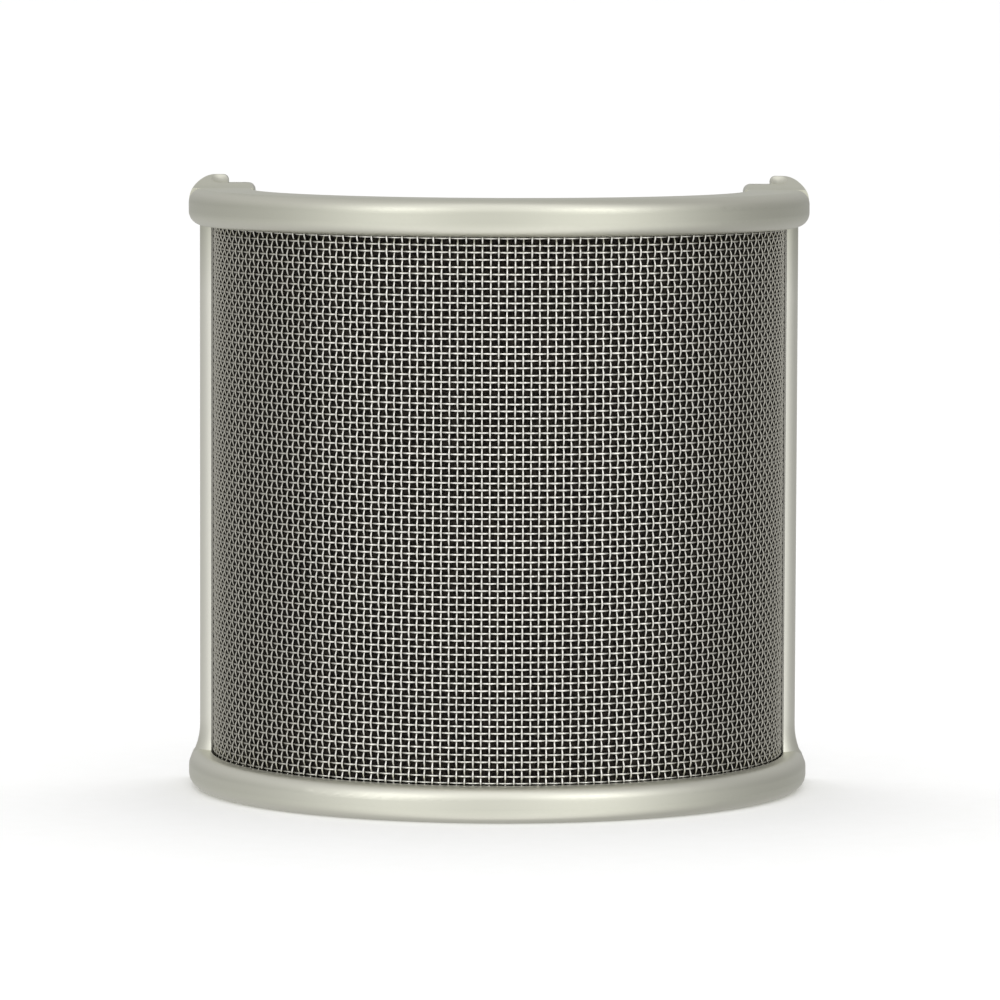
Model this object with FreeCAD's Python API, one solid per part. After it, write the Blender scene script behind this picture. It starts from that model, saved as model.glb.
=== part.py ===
import FreeCAD, Part
import math
import os

from FreeCAD import Vector

# A microphone pop filter: a half-round screen of woven wire, foam and woven wire, held in the
# grooves of a cast lower frame and closed by a cast upper frame. The row's origin is on the base
# plane, midway between the front and the rear ends; the screen bulges towards -Y and is open
# towards +Y. Millimetres throughout.

# ---- overall sizes
height = 96.6              # base to the top face of the upper bar
outer_radius = 50.0        # outer face of both bars, about the microphone's axis
rear_reach = 9.0           # the bars' straight ends, from the axis to the rear

# ---- bars
upper_bar_height = 5.8
lower_bar_height = 5.6
outer_round = 2.2          # rounding of the bars' outer edges
inner_round = 0.8          # rounding of the bars' inner edges
lip_thickness = 3.2        # bars' inner face to their grooves
end_round = 0.7            # rounding round the rear ends, less than every corner's it follows

# ---- screen, from the outside inwards
screen_inset = 3.9         # bars' outer face to the outer cloth
cloth_thickness = 0.66     # two wire diameters
foam_thickness = 1.6
layer_gap = 0.05
screen_half_angle = 90.0   # the screen's edges, in degrees from the front
seat_depth = 3.2           # depth of the grooves in the bars
seal_thickness = 0.6
seat_gap = 0.05            # screen edge to seal, and every part in its seat

# ---- folded strips that bind the screen's upright edges
binding_thickness = 0.2
binding_width = 1.3
binding_gap = 0.05         # binding to the walls of its slot

# ---- posts, cast with the lower bar
post_radius = 3.3
post_inset = 1.6           # bars' outer face to the post's outer side
post_angle = 92.6          # degrees from the front
foot_rise = 4.0            # height of the flare at the foot of a post

# ---- raised rear ends of the upper bar: bosses over the posts, and lower lugs beside them
lug_rise = 0.7             # lugs above the upper bar, on the bosses' inner side
lug_round = 1.2
boss_width = 6.1
boss_rise = 2.0
boss_outer_round = 4.0
boss_inner_round = 0.9
ramp_length = 4.2          # slope from the bar up to the boss
ramp_foot_round = 6.0      # hollow where the slope leaves the bar
dimple_radius = 2.6        # hollow that the casting leaves in the slope, over the pin
dimple_depth = 0.3

# ---- dowel pins, pressed into the posts and the upper frame
pin_radius = 0.8
pin_length = 10.0
pin_rise = 4.0             # how far a pin goes up into the upper frame
pin_chamfer = 0.2

# ---- eyelets for an elastic strap, and grip pads
eyelet_radius = 1.0
eyelet_from_rear = 2.1
eyelet_wall = 1.25         # eyelet to the bars' inner face
pad_thickness = 1.4
pad_proud = 1.0
pad_length = 6.0
pad_margin = 1.4           # pad to the bar's top and bottom faces
pad_round = 0.6

# ---- worked out
axis_y = (outer_radius - rear_reach) / 2
rear_y = axis_y + rear_reach
upper_bar_base = height - upper_bar_height
outer_cloth_radius = outer_radius - screen_inset
foam_radius = outer_cloth_radius - cloth_thickness - layer_gap
inner_cloth_radius = foam_radius - foam_thickness - layer_gap
screen_inner_radius = inner_cloth_radius - cloth_thickness
binding_outer = outer_cloth_radius + layer_gap + binding_thickness
binding_inner = screen_inner_radius - layer_gap - binding_thickness
seat_outer = binding_outer + binding_gap
seat_inner = binding_inner - binding_gap
inner_radius = seat_inner - lip_thickness
bar_width = outer_radius - inner_radius
seat_floor = lower_bar_height - seat_depth
seat_ceiling = upper_bar_base + seat_depth
screen_base = seat_floor + seal_thickness + seat_gap
screen_top = seat_ceiling - seal_thickness - seat_gap
degree_length = math.radians(outer_cloth_radius)      # one degree along the screen's face
binding_end_angle = screen_half_angle + (seat_gap + binding_thickness) / degree_length
binding_start_angle = binding_end_angle - binding_width / degree_length
seat_half_angle = binding_end_angle + seat_gap / degree_length
post_centre_radius = outer_radius - post_inset - post_radius
post_x = post_centre_radius * math.sin(math.radians(post_angle))
post_y = axis_y - post_centre_radius * math.cos(math.radians(post_angle))
boss_inner_radius = outer_radius - boss_width
eyelet_x = inner_radius + eyelet_wall + eyelet_radius
eyelet_y = rear_y - eyelet_from_rear
pin_base = upper_bar_base + pin_rise - pin_length
ramp_slope = math.atan(boss_rise / ramp_length)
ramp_foot_y = axis_y + ramp_foot_round * math.tan(ramp_slope / 2)
half_circle = 90.0
margin = 5.0               # how far a cutting tool runs past what it cuts

up = Vector(0, 0, 1)
axis_base = Vector(0, axis_y, 0)


def front_plane(radius, z):
    """A point straight in front of the microphone's axis."""
    return Vector(0, axis_y - radius, z)


def rounded_outline(corners, place):
    """A closed wire through (u, v, rounding) corners, each corner an arc tangent to its sides."""
    starts, middles, ends = [], [], []
    for i, (u, v, rounding) in enumerate(corners):
        here = Vector(u, v, 0)
        back = (Vector(*corners[i - 1][:2], 0) - here).normalize()
        ahead = (Vector(*corners[(i + 1) % len(corners)][:2], 0) - here).normalize()
        half_turn = back.getAngle(ahead) / 2
        reach = rounding / math.tan(half_turn)
        inward = (back + ahead).normalize()
        starts.append(here + back * reach)
        middles.append(here + inward * (rounding / math.sin(half_turn) - rounding))
        ends.append(here + ahead * reach)
    edges = []
    for i, (u, v, rounding) in enumerate(corners):
        here = [place(p.x, p.y) for p in (ends[i - 1], starts[i], middles[i], ends[i])]
        edges.append(Part.LineSegment(here[0], here[1]).toShape())
        if rounding:
            edges.append(Part.Arc(*here[1:]).toShape())
    return Part.Wire(edges)


def sector(corners, from_angle, to_angle):
    """A (radius, height, rounding) section carried round the microphone's axis."""
    face = Part.Face(rounded_outline(corners, front_plane))
    face.rotate(axis_base, up, from_angle)
    return face.revolve(axis_base, up, to_angle - from_angle)


def ring(inner, outer, base, top, half_angle):
    """A plain sector with a square section, even about the front."""
    corners = [(inner, base, 0), (outer, base, 0), (outer, top, 0), (inner, top, 0)]
    return sector(corners, -half_angle, half_angle)


def box(x0, x1, y0, y1, z0, z1):
    return Part.makeBox(x1 - x0, y1 - y0, z1 - z0, Vector(x0, y0, z0))


def cylinder(radius, x, y, z0, z1):
    return Part.makeCylinder(radius, z1 - z0, Vector(x, y, z0))


def mirrored(shape):
    """The same piece on the other side of the object."""
    return shape.mirror(Vector(0, 0, 0), Vector(1, 0, 0))


def both_sides(shape):
    return [shape, mirrored(shape)]


def edges_where(shape, test):
    """The edges whose every point passes the test, sampled along each edge."""
    return [e for e in shape.Edges if all(test(p) for p in e.discretize(5))]


def straight_end(corners):
    """The section carried straight back from the axis to the right-hand rear end."""
    face = Part.Face(rounded_outline(corners, lambda x, z: Vector(x, axis_y, z)))
    return face.extrude(Vector(0, rear_reach, 0))


def bar(base, top):
    """One bar of the frame: a half circle with two straight ends."""
    corners = [(inner_radius, base, inner_round), (outer_radius, base, outer_round),
               (outer_radius, top, outer_round), (inner_radius, top, inner_round)]
    return sector(corners, -half_circle, half_circle).fuse(both_sides(straight_end(corners)))


def lug():
    """The raised step between the right-hand boss and the upper bar's inner face."""
    top = height + lug_rise
    middle = inner_radius + bar_width / 2
    return straight_end([(inner_radius, upper_bar_base, inner_round), (middle, upper_bar_base, 0),
                         (middle, top, 0), (inner_radius, top, lug_round)])


def boss():
    """The raised block over the right-hand post, with a full round on its outer side."""
    top = height + boss_rise
    base = height - outer_round - inner_round
    corners = [(boss_inner_radius, base, 0), (outer_radius, base, 0),
               (outer_radius, top, boss_outer_round), (boss_inner_radius, top, boss_inner_round)]
    return straight_end(corners)


def above_ramp():
    """What is cut away above the slope that rises from the bar to the boss."""
    clear = height + boss_rise + margin
    crest_y = ramp_foot_y + (clear - height) / math.tan(ramp_slope)
    corners = [(axis_y - margin, height, 0), (ramp_foot_y, height, ramp_foot_round),
               (crest_y, clear, 0), (axis_y - margin, clear, 0)]
    wire = rounded_outline(corners, lambda y, z: Vector(-outer_radius - margin, y, z))
    return Part.Face(wire).extrude(Vector(2 * (outer_radius + margin), 0, 0))


def dimple():
    """A shallow round hollow in the middle of the right-hand slope."""
    middle = Vector(post_x, ramp_foot_y + ramp_length / 2, height + boss_rise / 2)
    return Part.makeSphere(dimple_radius, middle + up * (dimple_radius - dimple_depth))


def pin_hole():
    """The right-hand pin's hole, in the post and in the upper frame."""
    return cylinder(pin_radius, post_x, post_y, pin_base - seat_gap,
                    pin_base + pin_length + seat_gap)


def pad_box(base, top, gap):
    """A grip pad's block on the right-hand rear end of a bar, grown by a gap for its recess."""
    x1 = inner_radius + pad_thickness - pad_proud + gap
    middle = axis_y + rear_reach / 2
    return box(inner_radius - pad_proud - gap, x1, middle - pad_length / 2 - gap,
               middle + pad_length / 2 + gap, base + pad_margin - gap, top - pad_margin + gap)


def frame_cuts(base, top):
    """The eyelets and pad recesses of one bar."""
    eyelet = cylinder(eyelet_radius, eyelet_x, eyelet_y, base - margin, top + margin)
    return both_sides(eyelet) + both_sides(pad_box(base, top, seat_gap))


def upper_frame():
    """The cast upper bar with its bosses and lugs, grooved underneath for the screen."""
    end_block = lug().fuse(boss()).cut(above_ramp())
    body = bar(upper_bar_base, height).fuse(both_sides(end_block)).removeSplitter()
    rear_edges = edges_where(body, lambda p: abs(p.y - rear_y) < 1e-4)
    body = body.makeFillet(end_round, rear_edges)
    groove = ring(seat_inner, seat_outer, upper_bar_base - margin, seat_ceiling, seat_half_angle)
    cuts = [groove] + both_sides(pin_hole()) + both_sides(dimple())
    return body.cut(cuts + frame_cuts(upper_bar_base, height))


def post():
    """The right-hand post, a round column whose flared foot runs into the bar's rounded edge."""
    corner_r = outer_radius - outer_round
    corner_z = lower_bar_height - outer_round
    across = post_centre_radius + post_radius - corner_r
    rise = foot_rise + outer_round
    flare = (across**2 + rise**2 - outer_round**2) / (2 * (outer_round - across))
    centre_r = post_radius + flare
    centre_z = lower_bar_height + foot_rise
    along = Vector(post_centre_radius + centre_r - corner_r, centre_z - corner_z, 0).normalize()
    foot_angle = math.atan2(-along.y, -along.x)
    middle_angle = (foot_angle - math.pi) / 2

    def on_flare(angle):
        return Vector(centre_r + flare * math.cos(angle), 0, centre_z + flare * math.sin(angle))

    foot = on_flare(foot_angle)
    low = Vector(foot.x, 0, lower_bar_height / 2)
    shaft_foot = Vector(post_radius, 0, centre_z)
    shaft_top = Vector(post_radius, 0, upper_bar_base)
    points = [Vector(0, 0, low.z), low, foot]
    edges = [Part.LineSegment(a, b).toShape() for a, b in zip(points, points[1:])]
    edges.append(Part.Arc(foot, on_flare(middle_angle), shaft_foot).toShape())
    points = [shaft_foot, shaft_top, Vector(0, 0, shaft_top.z), Vector(0, 0, low.z)]
    edges += [Part.LineSegment(a, b).toShape() for a, b in zip(points, points[1:])]
    column = Part.Face(Part.Wire(edges)).revolve(Vector(0, 0, 0), up, 360)
    column.translate(Vector(post_x, post_y, 0))
    return column


def lower_frame():
    """The cast lower bar with both posts, grooved and slotted for the screen."""
    body = bar(0, lower_bar_height).removeSplitter()
    rear_edges = edges_where(body, lambda p: abs(p.y - rear_y) < 1e-4)
    body = body.makeFillet(end_round, rear_edges)
    body = body.fuse(both_sides(post()))
    groove = ring(seat_inner, seat_outer, seat_floor, upper_bar_base + margin, seat_half_angle)
    return body.cut([groove] + both_sides(pin_hole()) + frame_cuts(0, lower_bar_height))


def screen_layer(layer_outer_radius, thickness):
    """One layer of the screen, seated in both grooves."""
    return ring(layer_outer_radius - thickness, layer_outer_radius, screen_base, screen_top,
                screen_half_angle)


def groove_seal(base):
    """The soft strip on a groove's floor that the screen's edge bears on."""
    return ring(seat_inner + seat_gap, seat_outer - seat_gap, base, base + seal_thickness,
                screen_half_angle)


def edge_binding():
    """The folded strip round the right-hand upright edge of the screen."""
    def block(inner, outer, start, end):
        corners = [(inner, screen_base, 0), (outer, screen_base, 0),
                   (outer, screen_top, 0), (inner, screen_top, 0)]
        return sector(corners, start, end)

    web_angle = binding_end_angle - binding_thickness / degree_length
    fold = block(binding_inner, binding_outer, binding_start_angle, binding_end_angle)
    inside = block(binding_inner + binding_thickness, binding_outer - binding_thickness,
                   binding_start_angle - 1, web_angle)
    return fold.cut(inside)


def post_pin():
    """The dowel pin that keeps the upper frame on the right-hand post."""
    pin = cylinder(pin_radius, post_x, post_y, pin_base, pin_base + pin_length)
    return pin.makeChamfer(pin_chamfer, [e for e in pin.Edges if len(e.Vertexes) == 1])


def grip_pad(base, top):
    """The rubber pad in the recess of a bar's right-hand rear end."""
    pad = pad_box(base, top, 0)
    proud_x = inner_radius - pad_proud
    return pad.makeFillet(pad_round, edges_where(pad, lambda p: abs(p.x - proud_x) < 1e-6))


def pieces():
    """Every piece by its node's name."""
    made = {
        "upper_frame": upper_frame(),
        "lower_frame": lower_frame(),
        "outer_wire_cloth": screen_layer(outer_cloth_radius, cloth_thickness),
        "foam_layer": screen_layer(foam_radius, foam_thickness),
        "inner_wire_cloth": screen_layer(inner_cloth_radius, cloth_thickness),
        "upper_groove_seal": groove_seal(seat_ceiling - seal_thickness),
        "lower_groove_seal": groove_seal(seat_floor),
    }
    handed = {
        "edge_binding": edge_binding(),
        "post_pin": post_pin(),
        "upper_grip_pad": grip_pad(upper_bar_base, height),
        "lower_grip_pad": grip_pad(0, lower_bar_height),
    }
    for name, shape in handed.items():
        made["right_" + name] = shape
        made["left_" + name] = mirrored(shape)
    return made


os.makedirs("parts", exist_ok=True)
for node, shape in pieces().items():
    for solid in shape.Solids:
        if not solid.isValid():
            raise SystemExit(f"{node} holds a solid that is not valid")
    whole = shape.Solids[0] if len(shape.Solids) == 1 else Part.makeCompound(shape.Solids)
    whole.exportStep(f"parts/{node}.step")
    print(f"{node:24s} solids {len(shape.Solids)}  volume {whole.Volume:9.2f} mm3")
print(f"axis at y {axis_y:.3f}, rear at y {rear_y:.3f}, bars' inner radius {inner_radius:.3f}")
print(f"posts at x {post_x:.3f}, y {post_y:.3f}; eyelets at x {eyelet_x:.3f}, y {eyelet_y:.3f}")
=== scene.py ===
import math

import bpy
import numpy as np
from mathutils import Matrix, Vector


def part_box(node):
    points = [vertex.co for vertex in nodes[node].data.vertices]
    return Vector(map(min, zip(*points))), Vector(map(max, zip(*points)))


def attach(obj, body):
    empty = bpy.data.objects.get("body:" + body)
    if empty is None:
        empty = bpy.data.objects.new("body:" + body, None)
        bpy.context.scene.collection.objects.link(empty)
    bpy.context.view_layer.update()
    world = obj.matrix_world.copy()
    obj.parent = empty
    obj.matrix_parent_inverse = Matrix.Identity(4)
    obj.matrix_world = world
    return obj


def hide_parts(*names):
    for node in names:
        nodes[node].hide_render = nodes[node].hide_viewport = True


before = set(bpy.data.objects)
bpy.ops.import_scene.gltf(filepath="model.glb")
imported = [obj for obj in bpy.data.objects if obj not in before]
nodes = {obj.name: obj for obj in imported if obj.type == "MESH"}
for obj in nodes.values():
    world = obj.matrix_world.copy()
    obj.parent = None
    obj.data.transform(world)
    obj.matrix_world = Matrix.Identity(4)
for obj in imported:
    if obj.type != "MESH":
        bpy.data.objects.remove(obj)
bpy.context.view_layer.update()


# ---- Lower frame
# The lower bar and both posts are one aluminium casting, bead blasted and nickel plated. The
# blasting leaves a fine even grit under the plating. Hands have rubbed the roundings, and the
# posts carry a painted highlight.

def linear(colour):
    """An sRGB hex colour as linear red, green, blue and alpha."""
    srgb = np.array([int(colour[i:i + 2], 16) for i in (1, 3, 5)]) / 255
    return (*np.where(srgb <= 0.04045, srgb / 12.92, ((srgb + 0.055) / 1.055) ** 2.4), 1)


def add_node(tree, kind, inputs=None, **settings):
    """Adds a node. Each input is given a value, or joined to a (node, output) pair."""
    node = tree.nodes.new("ShaderNode" + kind)
    for name, value in settings.items():
        setattr(node, name, value)
    for name, value in (inputs or {}).items():
        if isinstance(value, tuple) and isinstance(value[0], bpy.types.Node):
            tree.links.new(value[0].outputs[value[1]], node.inputs[name])
        else:
            node.inputs[name].default_value = value
    return node


def spread(tree, source, span, onto=(0.0, 1.0)):
    """Carries a node's output from one span of values onto another, clamped at both ends."""
    return add_node(tree, "MapRange", {"Value": source, "From Min": span[0], "From Max": span[1],
                                       "To Min": onto[0], "To Max": onto[1]})


def mix(tree, share, first, second):
    """Blends two colours. A share of 0 gives the first, and of 1 the second."""
    return add_node(tree, "MixRGB", {"Fac": share, "Color1": first, "Color2": second})


def new_material(name):
    """A material with an empty node tree, and that tree."""
    material = bpy.data.materials.new(name)
    material.use_nodes = True
    material.node_tree.nodes.clear()
    return material, material.node_tree


def finish_material(tree, surface):
    """Joins the surface shader to the material's output."""
    add_node(tree, "OutputMaterial", {"Surface": (surface, 0)})


def dress(node, material):
    """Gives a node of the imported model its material."""
    nodes[node].data.materials.clear()
    nodes[node].data.materials.append(material)


# Satin nickel plate is a warm grey metal with soft, broad highlights. Blast pits are about 0.15 mm
# across and too fine to show, so they are drawn three times as coarse. The roundings are smoother,
# and the posts carry a painted highlight, which fades out as they near the bars.
satin_nickel, tree = new_material("satin_nickel_plate")
place = add_node(tree, "TexCoord")
pits = add_node(tree, "TexNoise", {"Vector": (place, "Object"), "Scale": 1 / 0.00045,
                                   "Detail": 3.0, "Roughness": 0.6})
drift = add_node(tree, "TexNoise", {"Vector": (place, "Object"), "Scale": 1 / 0.022, "Detail": 2.0})
facing = add_node(tree, "SeparateXYZ", {0: (add_node(tree, "NewGeometry"), "Normal")})
steepness = add_node(tree, "Math", {0: (facing, "Z")}, operation="ABSOLUTE")
off_upright = spread(tree, (steepness, 0), (0.15, 0.6))
off_level = spread(tree, (steepness, 0), (0.8, 0.98), (1.0, 0.0))
rounding = add_node(tree, "Math", {0: (off_upright, 0), 1: (off_level, 0)}, operation="MULTIPLY")
half_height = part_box("lower_frame")[1].z / 2
height = add_node(tree, "SeparateXYZ", {0: (place, "Object")})
above_middle = add_node(tree, "Math", {0: (height, "Z"), 1: half_height}, operation="SUBTRACT")
from_middle = add_node(tree, "Math", {0: (above_middle, 0)}, operation="ABSOLUTE")
# Painted highlight: the posts are painted lighter, fully up to 11 mm from the frame's ends and fading
# out by 1 mm from them.
painted_post_highlight = spread(tree, (from_middle, 0), (half_height - 0.011, half_height - 0.001), (1.0, 0.0))
plate_colour = mix(tree, (drift, 0), linear("#DADACC"), linear("#D3D3C4"))
worn_colour = mix(tree, (rounding, 0), (plate_colour, 0), linear("#DDDCCF"))
post_highlight_colour = mix(tree, (painted_post_highlight, 0), (worn_colour, 0), linear("#EEEDE2"))
grit = spread(tree, (pits, 0), (0.3, 0.7), (0.38, 0.46))
smoothed = add_node(tree, "Math", {0: (rounding, 0), 1: -0.02, 2: (grit, 0)},
                    operation="MULTIPLY_ADD")
relief = add_node(tree, "Bump", {"Height": (pits, 0), "Strength": 0.6, "Distance": 0.000008})
finish_material(tree, add_node(tree, "BsdfPrincipled", {
    "Base Color": (post_highlight_colour, 0), "Roughness": (smoothed, 0), "Normal": (relief, 0),
    "Metallic": 1.0}))
dress("lower_frame", satin_nickel)


# ---- Groove seals
# Two strips of moulded black rubber on the floors of the grooves. The screen's edges press on
# them, so it can't rattle. The frame hides them.

moulded_rubber, tree = new_material("moulded_black_rubber")
place = add_node(tree, "TexCoord")
grain = add_node(tree, "TexNoise", {"Vector": (place, "Object"), "Scale": 1 / 0.0003, "Detail": 4.0})
bloom = add_node(tree, "TexNoise", {"Vector": (place, "Object"), "Scale": 1 / 0.006, "Detail": 3.0})
rubber_colour = mix(tree, (bloom, 0), linear("#161617"), linear("#2A2A2B"))
rubber_gloss = spread(tree, (grain, 0), (0.3, 0.7), (0.55, 0.75))
relief = add_node(tree, "Bump", {"Height": (grain, 0), "Strength": 0.7, "Distance": 0.00003})
finish_material(tree, add_node(tree, "BsdfPrincipled", {
    "Base Color": (rubber_colour, 0), "Roughness": (rubber_gloss, 0), "Normal": (relief, 0),
    "IOR": 1.52}))
for node in ("lower_groove_seal", "upper_groove_seal"):
    dress(node, moulded_rubber)


# ---- Wire cloth
# Two layers of plain-woven stainless wire, 20 upright wires to the inch. Each wire is bent over
# and under the wires it crosses, so the layer is two wires thick. The frame's grooves hold both.

WIRE_RADIUS = 0.000165
UPRIGHT_PITCH = 0.00127
CROSS_PITCH = 0.001118
WEAVE_SLOPE = 0.0015       # cross wires drop to the right, as cloth bent by hand does
WANDER = 0.00003           # how far a wire strays from its even place


def wire_places(node, samples):
    """Centre points of both sets of wires in one layer of cloth, from its CAD solid's box.

    Upright wire i is at angle t(i) round the screen and cross wire j at height z(j), evenly spaced.
    An upright wire's distance from the axis is the layer's middle radius plus the wire's radius
    times cos(pi (j + i)), with j running smoothly up it. A cross wire's is the middle radius less
    that, with i running smoothly along it, so each pair touches where it crosses. Both stray
    sideways in sine waves, 57 and 69 wires long, and each wire has its own phase."""
    low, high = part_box(node)
    middle = high.x - 2 * WIRE_RADIUS
    uprights = round(math.pi * middle / UPRIGHT_PITCH)
    crosses = round((high.z - low.z) / CROSS_PITCH)
    turn, step_up = math.pi / uprights, (high.z - low.z) / crosses

    def points(i, j, lift):
        stray = WANDER * np.sin(j / 9 + 2.4 * np.rint(i)) / middle
        angle = (i + 0.5) * turn - math.pi / 2 + stray
        away = middle + WIRE_RADIUS * lift
        z = low.z + (j + 0.5) * step_up + WANDER * np.sin(i / 11 + 1.7 * np.rint(j))
        z = np.clip(z - WEAVE_SLOPE * middle * angle, low.z, high.z)
        return np.stack([away * np.sin(angle), high.y - away * np.cos(angle), z], -1)

    i, j = np.meshgrid(np.arange(uprights), np.linspace(-0.5, crosses - 0.5, crosses * samples + 1),
                       indexing="ij")
    phase = np.cos(math.pi * (i + j))
    upright = points(i, j, phase), phase
    j, i = np.meshgrid(np.arange(crosses), np.linspace(-0.5, uprights - 0.5, uprights * samples + 1),
                       indexing="ij")
    phase = -np.cos(math.pi * (i + j))
    return upright, (points(i, j, phase), phase)


def wire_skins(centres, sides):
    """The skins of round wires whose centres are a (wires, steps) grid of points.

    A skin point is the centre plus the wire's radius times (cos a x out + sin a x side), where out
    is level and away from the screen's axis, side is square to it and to the wire, and a goes
    round the wire. One flat face closes each end."""
    along = np.gradient(centres, axis=1)
    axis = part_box("outer_wire_cloth")[1].y
    out = centres * (1, 1, 0) - (0, axis, 0)
    side = np.cross(along, out)
    side /= np.linalg.norm(side, axis=-1, keepdims=True)
    out = np.cross(side, along)
    out /= np.linalg.norm(out, axis=-1, keepdims=True)
    turn = np.linspace(0, 2 * math.pi, sides, endpoint=False)[:, None]
    skin = centres[:, :, None] + WIRE_RADIUS * (np.cos(turn) * out[:, :, None]
                                                + np.sin(turn) * side[:, :, None])
    number = np.arange(skin[..., 0].size).reshape(skin.shape[:3])
    onward = np.roll(number, -1, axis=2)
    quads = np.stack([number[:, :-1], onward[:, :-1], onward[:, 1:], number[:, 1:]], -1)
    ends = np.concatenate([number[:, 0, ::-1], number[:, -1]])
    return skin.reshape(-1, 3), quads.reshape(-1, 4).tolist() + ends.tolist()


def new_piece(name, points, faces, material, slot, node):
    """A smooth-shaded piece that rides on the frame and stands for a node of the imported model."""
    mesh = bpy.data.meshes.new(name)
    mesh.from_pydata(points.tolist(), [], faces)
    mesh.polygons.foreach_set("use_smooth", np.ones(len(faces), bool))
    mesh.materials.append(material)
    piece = bpy.data.objects.new(name, mesh)
    bpy.context.scene.collection.objects.link(piece)
    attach(piece, "root")
    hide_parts(node)
    return piece


def store(piece, name, values):
    """Keeps one number per point with the piece, for its material to read."""
    piece.data.attributes.new(name, "FLOAT", "POINT").data.foreach_set(
        "value", np.ascontiguousarray(values, np.float32).ravel())


# Drawn stainless wire is bright and slightly streaked, and each wire has a tone of its own. Painted
# shade darkens it where it dips under a neighbour, and painted shade darkens the cloth towards the
# posts.
drawn_wire, tree = new_material("drawn_stainless_wire")
crest = add_node(tree, "Attribute", attribute_name="crest")
tone = add_node(tree, "Attribute", attribute_name="tone")
place = add_node(tree, "TexCoord")
streaks = add_node(tree, "TexNoise", {"Vector": (place, "Object"), "Scale": 1 / 0.0004, "Detail": 2.0})
own_tone = mix(tree, (tone, "Fac"), linear("#E2E1DA"), linear("#F8F6EF"))
# Painted shade: each wire is darker where it dips under the wire it crosses.
painted_dip_shade = spread(tree, (crest, "Fac"), (-1.0, 0.3), (0.55, 0.0))
dip_shaded_tone = mix(tree, (painted_dip_shade, 0), (own_tone, 0), linear("#85827A"))
across = add_node(tree, "SeparateXYZ", {0: (place, "Object")})
sideways = add_node(tree, "Math", {0: (across, "X")}, operation="ABSOLUTE")
# Painted shade: the cloth is darkened towards the posts, from 18 mm to 44 mm off the middle.
painted_side_shade = spread(tree, (sideways, 0), (0.018, 0.044), (0.0, 0.74))
wire_colour = mix(tree, (painted_side_shade, 0), (dip_shaded_tone, 0), linear("#8B887B"))
wire_gloss = spread(tree, (streaks, 0), (0.3, 0.7), (0.2, 0.32))
finish_material(tree, add_node(tree, "BsdfPrincipled", {
    "Base Color": (wire_colour, 0), "Roughness": (wire_gloss, 0), "Metallic": 1.0}))


def weave(layer, node, samples, sides, lots):
    """Weaves one layer of wire cloth from its upright and its cross wires, each set in lots."""
    for run, (centres, phase) in zip(("upright", "cross"), wire_places(node, samples)):
        tones = np.random.default_rng(20).random(len(centres))
        for lot, picked in enumerate(np.array_split(np.arange(len(centres)), lots), 1):
            points, faces = wire_skins(centres[picked], sides)
            piece = new_piece(f"{layer}_{run}_wires_{lot}", points, faces, drawn_wire,
                              "wire_cloth", node)
            shape = len(picked), centres.shape[1], sides
            store(piece, "crest", np.broadcast_to(phase[picked][:, :, None], shape))
            store(piece, "tone", np.broadcast_to(tones[picked][:, None, None], shape))


weave("inner", "inner_wire_cloth", samples=3, sides=5, lots=2)
weave("outer", "outer_wire_cloth", samples=4, sides=6, lots=3)


# ---- Foam layer
# A sheet of black open-cell polyurethane foam, die cut and bent into the gap between the two
# layers of wire cloth. It slows the puffs of breath that the wires alone let through.

LAYER_GAP = 0.00005        # foam to the inner cloth
RIPPLE = 0.00002           # height of the ripples in the foam's faces


def closed_sheet(front, back):
    """Two grids of points with one edge in common, as one closed shell that faces outwards."""
    count = front[..., 0].size
    number = np.arange(count).reshape(front.shape[:2])
    behind = number + count
    for edge in (np.s_[0], np.s_[-1], np.s_[:, 0], np.s_[:, -1]):
        behind[edge] = number[edge]
    faces = np.concatenate([
        np.stack([n[:-1, :-1], n[1:, :-1], n[1:, 1:], n[:-1, 1:]], -1).reshape(-1, 4)[:, ::way]
        for n, way in ((number, 1), (behind, -1))])
    used, faces = np.unique(faces, return_inverse=True)
    points = np.concatenate([front, back]).reshape(-1, 3)[used]
    return points, faces.reshape(-1, 4).tolist()


def foam_sheet(node, edge_round):
    """A bent sheet with rounded edges and a slightly uneven face.

    Its middle is a half cylinder. Each face is off it by half the thickness times the quarter
    circle sqrt(1 - (1 - d/e)^2) while the distance d to the nearest edge is under e, less a ripple
    that is one sine along the sheet times another up it."""
    low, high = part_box(node)
    thickness = high.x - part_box("inner_wire_cloth")[1].x - LAYER_GAP
    middle = high.x - thickness / 2
    length, tall = math.pi * middle, high.z - low.z
    rim = edge_round * (1 - np.cos(np.linspace(0, math.pi / 2, 5)))

    def places(extent, steps):
        """Places from edge to edge, closest together where the edges are rounded."""
        between = np.linspace(edge_round, extent - edge_round, steps)[1:-1]
        return np.concatenate([rim, between, extent - rim[::-1]])

    s, h = np.meshgrid(places(length, 180), places(tall, 110), indexing="ij")
    near = np.minimum(np.minimum(s, length - s), np.minimum(h, tall - h)) / edge_round
    half = thickness / 2 * np.sqrt(1 - (1 - np.minimum(near, 1)) ** 2)
    ripple = RIPPLE * (np.sin(s / 0.0021) * np.sin(h / 0.0017) * half / half.max() - 1)
    half = np.maximum(half + ripple, 0)
    angle = s / middle - math.pi / 2
    faces = []
    for away in (middle + half, middle - half):
        faces.append(np.stack([away * np.sin(angle), high.y - away * np.cos(angle), low.z + h], -1))
    return closed_sheet(*faces)


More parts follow.
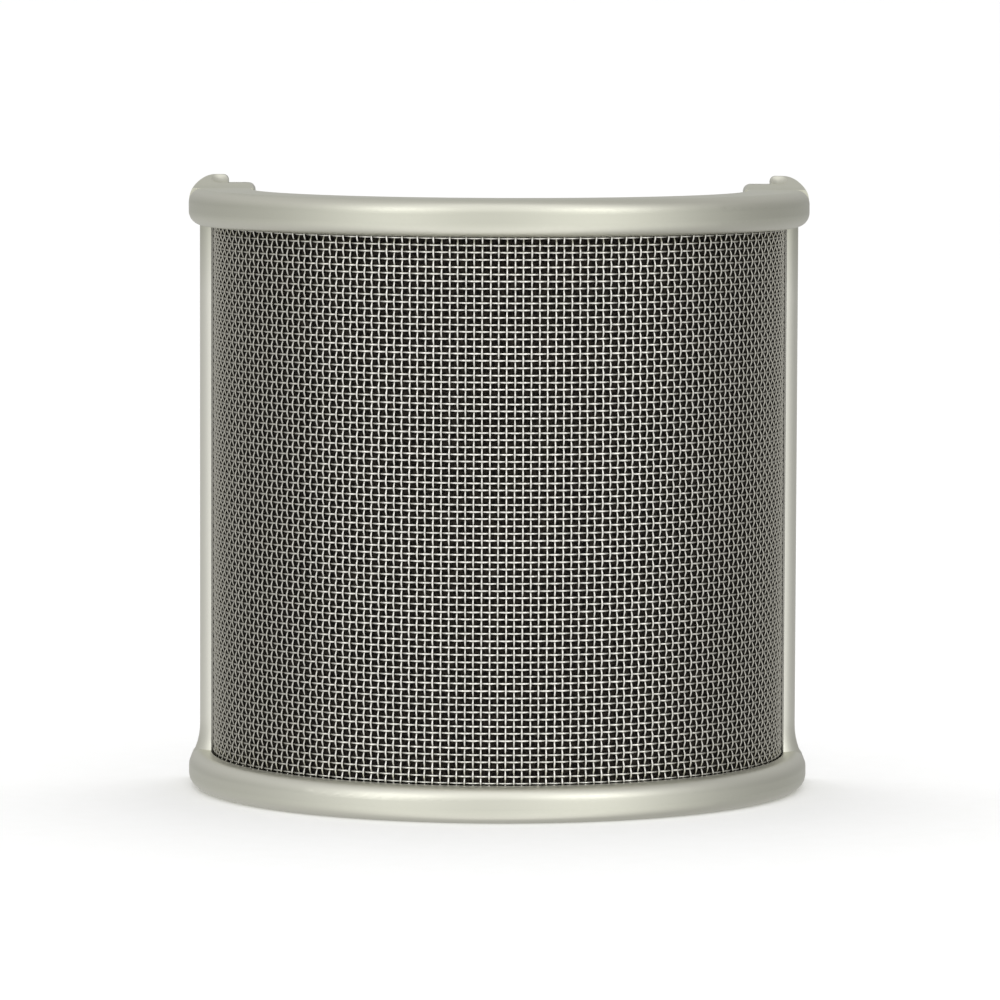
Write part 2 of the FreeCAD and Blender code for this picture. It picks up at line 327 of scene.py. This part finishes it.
# Open-cell foam is a net of thin black struts round open pores. At 40 pores to the inch a cell is
# 0.64 mm across. The struts catch a little light and the pores catch none.
open_cell_foam, tree = new_material("open_cell_polyurethane_foam")
place = add_node(tree, "TexCoord")
cells = add_node(tree, "TexVoronoi", {"Vector": (place, "Object"), "Scale": 1 / 0.00064},
                 feature="DISTANCE_TO_EDGE")
mottle = add_node(tree, "TexNoise", {"Vector": (place, "Object"), "Scale": 1 / 0.004, "Detail": 3.0})
strut = spread(tree, (cells, 0), (0.02, 0.22), (1.0, 0.0))
strut_colour = mix(tree, (mottle, 0), linear("#2B2722"), linear("#37322B"))
foam_colour = mix(tree, (strut, 0), linear("#0B0A08"), (strut_colour, 0))
relief = add_node(tree, "Bump", {"Height": (strut, 0), "Strength": 0.9, "Distance": 0.00015})
finish_material(tree, add_node(tree, "BsdfPrincipled", {
    "Base Color": (foam_colour, 0), "Normal": (relief, 0), "Roughness": 0.95, "IOR": 1.5,
    "Specular IOR Level": 0.2}))
foam = new_piece("open_cell_foam", *foam_sheet("foam_layer", 0.0006), open_cell_foam, "foam",
                 "foam_layer")


# ---- Edge bindings
# Strips of thin stainless steel, folded round the screen's two upright edges so the wires can't
# fray. They slide down into the slots in the posts.

# Cold-rolled strip is a dull grey, with fine lines along its length, 0.1 mm apart, from the rolls.
rolled_strip, tree = new_material("rolled_stainless_strip")
place = add_node(tree, "TexCoord")
drawn_out = add_node(tree, "Mapping", {"Vector": (place, "Object"), "Scale": (1.0, 1.0, 0.02)})
lines = add_node(tree, "TexNoise", {"Vector": (drawn_out, 0), "Scale": 1 / 0.0001, "Detail": 3.0})
strip_colour = mix(tree, (lines, 0), linear("#B0AEA6"), linear("#C1BFB7"))
strip_gloss = spread(tree, (lines, 0), (0.3, 0.7), (0.4, 0.55))
relief = add_node(tree, "Bump", {"Height": (lines, 0), "Strength": 0.5, "Distance": 0.000004})
finish_material(tree, add_node(tree, "BsdfPrincipled", {
    "Base Color": (strip_colour, 0), "Roughness": (strip_gloss, 0), "Normal": (relief, 0),
    "Metallic": 1.0}))
for node in ("left_edge_binding", "right_edge_binding"):
    dress(node, rolled_strip)


# ---- Upper frame
# The upper bar with its raised rear ends, cast and plated like the lower frame. It closes the
# screen in from above and is pinned to the posts.

dress("upper_frame", satin_nickel)


# ---- Post pins
# Two 1.6 mm dowel pins of hardened steel, pressed into the posts and into the upper frame. They keep
# the frame together and are hidden in it.

# Ground steel keeps fine rings round the pin from the wheel, 0.02 mm apart and drawn four times as
# coarse.
ground_steel, tree = new_material("ground_dowel_steel")
place = add_node(tree, "TexCoord")
wound = add_node(tree, "Mapping", {"Vector": (place, "Object"), "Scale": (0.02, 0.02, 1.0)})
rings = add_node(tree, "TexNoise", {"Vector": (wound, 0), "Scale": 1 / 0.00008, "Detail": 2.0})
pin_colour = mix(tree, (rings, 0), linear("#B5B3AD"), linear("#C6C4BE"))
pin_gloss = spread(tree, (rings, 0), (0.3, 0.7), (0.14, 0.26))
relief = add_node(tree, "Bump", {"Height": (rings, 0), "Strength": 0.4, "Distance": 0.000003})
finish_material(tree, add_node(tree, "BsdfPrincipled", {
    "Base Color": (pin_colour, 0), "Roughness": (pin_gloss, 0), "Normal": (relief, 0),
    "Metallic": 1.0}))
for node in ("left_post_pin", "right_post_pin"):
    dress(node, ground_steel)


# ---- Grip pads
# Four pads of moulded black rubber, glued into recesses in the bars' rear ends. Their ribs grip the
# microphone's body and keep the metal off it.

RIB_PITCH = 0.00075
RIB_DEPTH = 0.00015


def ribbed_pad(low, high, side):
    """A ribbed rubber pad, glued by its flat back.

    It stands off its back by its depth times (1 - |u|^8)^(1/8) (1 - |v|^8)^(1/8), where u and v run
    from -1 to 1 over its length and height, which is a block with small roundings. The grooves
    between its upright ribs are a cosine along its length. Side is 1 on the right."""
    swing = np.linspace(-math.pi / 2, math.pi / 2, 97)
    u, v = np.meshgrid(np.sin(swing), np.sin(swing[::3]), indexing="ij")
    centre, half = (low + high) / 2, (high - low) / 2
    rise = np.clip((1 - np.abs(u) ** 8) * (1 - np.abs(v) ** 8), 0, 1) ** (1 / 8)
    groove = RIB_DEPTH * (0.5 - 0.5 * np.cos(2 * math.pi * u * half.y / RIB_PITCH)) * rise
    y, z = centre.y + half.y * u, centre.z + half.z * v
    front = np.stack([side * (high.x - 2 * half.x * rise + groove), y, z], -1)
    back = np.stack([np.full_like(y, side * high.x), y, z], -1)
    return closed_sheet(*((front, back) if side > 0 else (back, front)))


for level in ("lower", "upper"):
    for side, name in ((1, "right"), (-1, "left")):
        low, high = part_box(f"right_{level}_grip_pad")
        new_piece(f"{name}_{level}_ribbed_pad", *ribbed_pad(low, high, side), moulded_rubber,
                  "pad_rubber", f"{name}_{level}_grip_pad")


# ---- Studio
# The filter stands on a plain white table that runs back to a white wall. Two soft lights stand in
# front of it, left and right. The metal mirrors the room's grey walls and not the table.

floor_mesh = bpy.data.meshes.new("white_table")
floor_mesh.from_pydata([(-200, -200, 0), (200, -200, 0), (200, 200, 0), (-200, 200, 0)], [],
                       [(0, 1, 2, 3)])
table = bpy.data.objects.new("white_table", floor_mesh)
bpy.context.scene.collection.objects.link(table)
table.visible_glossy = False

# Matt white laminate has the faint unevenness of a sprayed coat.
white_laminate, tree = new_material("matt_white_laminate")
place = add_node(tree, "TexCoord")
spray = add_node(tree, "TexNoise", {"Vector": (place, "Object"), "Scale": 1 / 0.004, "Detail": 3.0})
laminate_colour = mix(tree, (spray, 0), linear("#F7F7F6"), linear("#FAFAFA"))
finish_material(tree, add_node(tree, "BsdfPrincipled", {
    "Base Color": (laminate_colour, 0), "Roughness": 0.8, "Specular IOR Level": 0.2}))
floor_mesh.materials.append(white_laminate)

# What the metal mirrors differs by heading and by height. The table gets even light, strong enough
# to stay white, and the wall behind is white.
world = bpy.data.worlds.new("studio_walls")
bpy.context.scene.world = world
world.use_nodes = True
tree = world.node_tree
tree.nodes.clear()
ray = add_node(tree, "LightPath")
toward = add_node(tree, "SeparateXYZ", {0: (add_node(tree, "TexCoord"), "Generated")})
forward = add_node(tree, "Math", {0: (toward, "Y"), 1: -1.0}, operation="MULTIPLY")
heading = add_node(tree, "Math", {0: (toward, "X"), 1: (forward, 0)}, operation="ARCTAN2")
round_room = spread(tree, (heading, 0), (-math.pi, math.pi))
walls = add_node(tree, "ValToRGB", {"Fac": (round_room, 0)})
# The room's brightness by heading, in degrees from straight in front, positive to the right.
wall_tones = {-180: 0.48, -125: 0.46, -80: 0.54, -58: 0.81, -38: 0.97, -19: 0.8, 0: 0.69, 19: 0.97,
              38: 1.0, 58: 0.79, 80: 0.47, 108: 0.34, 138: 0.38, 180: 0.48}
walls.color_ramp.interpolation = "B_SPLINE"
for stop, (degrees, tone) in enumerate(wall_tones.items()):
    place_on_ramp = (degrees + 180) / 360
    if stop < 2:
        element = walls.color_ramp.elements[stop]
        element.position = place_on_ramp
    else:
        element = walls.color_ramp.elements.new(place_on_ramp)
    element.color = (tone, tone, tone, 1)
ceiling = spread(tree, (toward, "Z"), (0.1, 0.6), (1.0, 1.3))
table_light = spread(tree, (toward, "Z"), (-0.16, -0.01), (1.3, 1.0))
gain = add_node(tree, "Math", {0: (ceiling, 0), 1: (table_light, 0)}, operation="MULTIPLY")
mirrored = add_node(tree, "VectorMath", {0: (walls, 0), "Scale": (gain, 0)}, operation="SCALE")
room = mix(tree, (ray, "Is Diffuse Ray"), (mirrored, 0), (1.15, 1.15, 1.15, 1))
seen = mix(tree, (ray, "Is Camera Ray"), (room, 0), (1.0, 1.0, 1.0, 1))
background = add_node(tree, "Background", {"Color": (seen, 0), "Strength": 1.0})
add_node(tree, "OutputWorld", {"Surface": (background, 0)})

bpy.context.scene.view_settings.view_transform = "Standard"

# A lamp's power is its brightness times pi times the area of its face.
for name, place, width, height, brightness in (
        ("left_softbox", (-0.85, -1.05, 0.75), 0.55, 0.9, 1.1),
        ("right_softbox", (0.85, -1.05, 0.75), 0.55, 0.9, 1.25)):
    lamp = bpy.data.lights.new(name, "AREA")
    lamp.shape = "RECTANGLE"
    lamp.size, lamp.size_y = width, height
    lamp.energy = brightness * math.pi * width * height
    light = bpy.data.objects.new(name, lamp)
    light.location = place
    light.rotation_euler = (Vector((0, 0, 0.05)) - light.location).to_track_quat("-Z", "Y").to_euler()
    bpy.context.scene.collection.objects.link(light)

camera_data = bpy.data.cameras.new("camera")
camera_data.lens = 231.9
camera_data.sensor_width = 36
camera_data.clip_end = 1000
camera = bpy.data.objects.new("camera", camera_data)
camera.location = (0, -1.0185, 0.1324)
camera.rotation_euler = (math.radians(90 - 4.738), math.radians(-0.197), 0)
bpy.context.scene.collection.objects.link(camera)
bpy.context.scene.camera = camera
